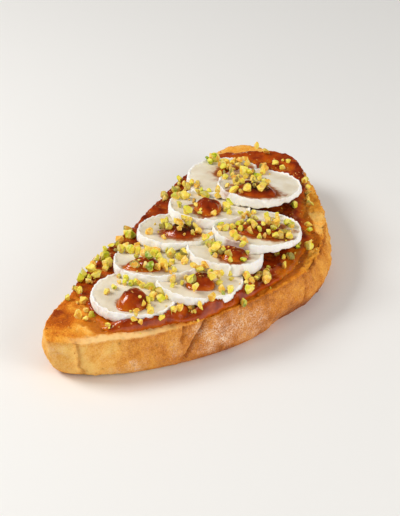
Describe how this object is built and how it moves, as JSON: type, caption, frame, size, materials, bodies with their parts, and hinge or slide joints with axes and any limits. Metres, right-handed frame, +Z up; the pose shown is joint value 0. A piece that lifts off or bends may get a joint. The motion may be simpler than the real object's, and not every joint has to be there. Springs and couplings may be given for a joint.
{
  "type": "goat cheese toast",
  "caption": "Long slice of toasted country bread spread with jam, topped with shingled round slices of goat cheese, each with a spoonful of jam.",
  "frame": {"origin": "on the surface that the toast lies on, below the middle of its bounding box", "axes": "+X along the loaf slice towards its broad end, +Y towards the side that was the loaf's flat base, +Z up through the cheese"},
  "size_m": [0.2505, 0.1198, 0.045],
  "materials": {
    "toasted_bread": "matte toasted crumb and floury crust",
    "jam": "wet, glossy, translucent",
    "goat_cheese": "soft satin face, matt white rind"
  },
  "bodies": {
    "root": {"bread_slice": "toasted_bread", "jam_spread": "jam", "cheese_slice_1": "goat_cheese", "cheese_slice_2": "goat_cheese", "cheese_slice_3": "goat_cheese", "cheese_slice_4": "goat_cheese", "cheese_slice_5": "goat_cheese", "cheese_slice_6": "goat_cheese", "cheese_slice_7": "goat_cheese", "cheese_slice_8": "goat_cheese", "cheese_slice_9": "goat_cheese", "jam_dollop_1": "jam", "jam_dollop_2": "jam", "jam_dollop_3": "jam", "jam_dollop_4": "jam", "jam_dollop_5": "jam", "jam_dollop_6": "jam", "jam_dollop_7": "jam", "jam_dollop_8": "jam", "jam_dollop_9": "jam"}
  },
  "joints": []
}
